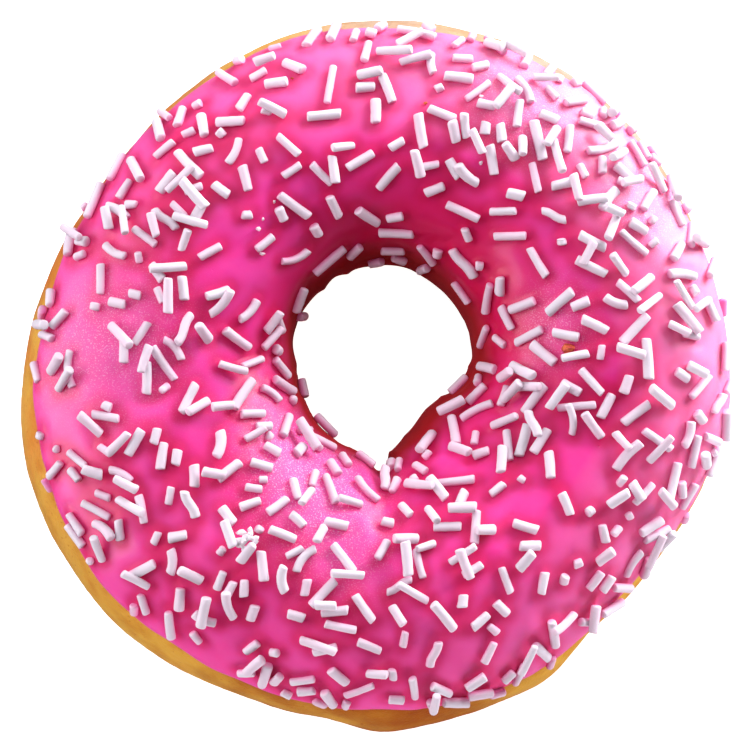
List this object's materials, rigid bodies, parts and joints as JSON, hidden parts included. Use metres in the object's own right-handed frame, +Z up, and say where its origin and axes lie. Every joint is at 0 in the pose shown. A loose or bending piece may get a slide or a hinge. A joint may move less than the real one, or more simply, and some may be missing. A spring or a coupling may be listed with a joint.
{
  "type": "raspberry doughnut",
  "caption": "Ring doughnut of fried dough with a thin coat of pink raspberry icing over its upper side and short white sugar strands fused to the icing.",
  "frame": {"origin": "middle of the underside of the whole, on the surface that it rests on", "axes": "+Z up through the hole, with the iced side up; -Y towards the viewer and +X to the right"},
  "size_m": [0.0892, 0.0888, 0.0352],
  "materials": {
    "dough": "fried dough: golden crust with a paler belt round its side",
    "icing": "set sugar icing, smooth and satin to glossy, with a fine frosty grain",
    "strands": "white pressed sugar, matte, with blunt ends"
  },
  "bodies": {
    "root": {"dough": "dough", "icing": "icing"}
  },
  "joints": []
}
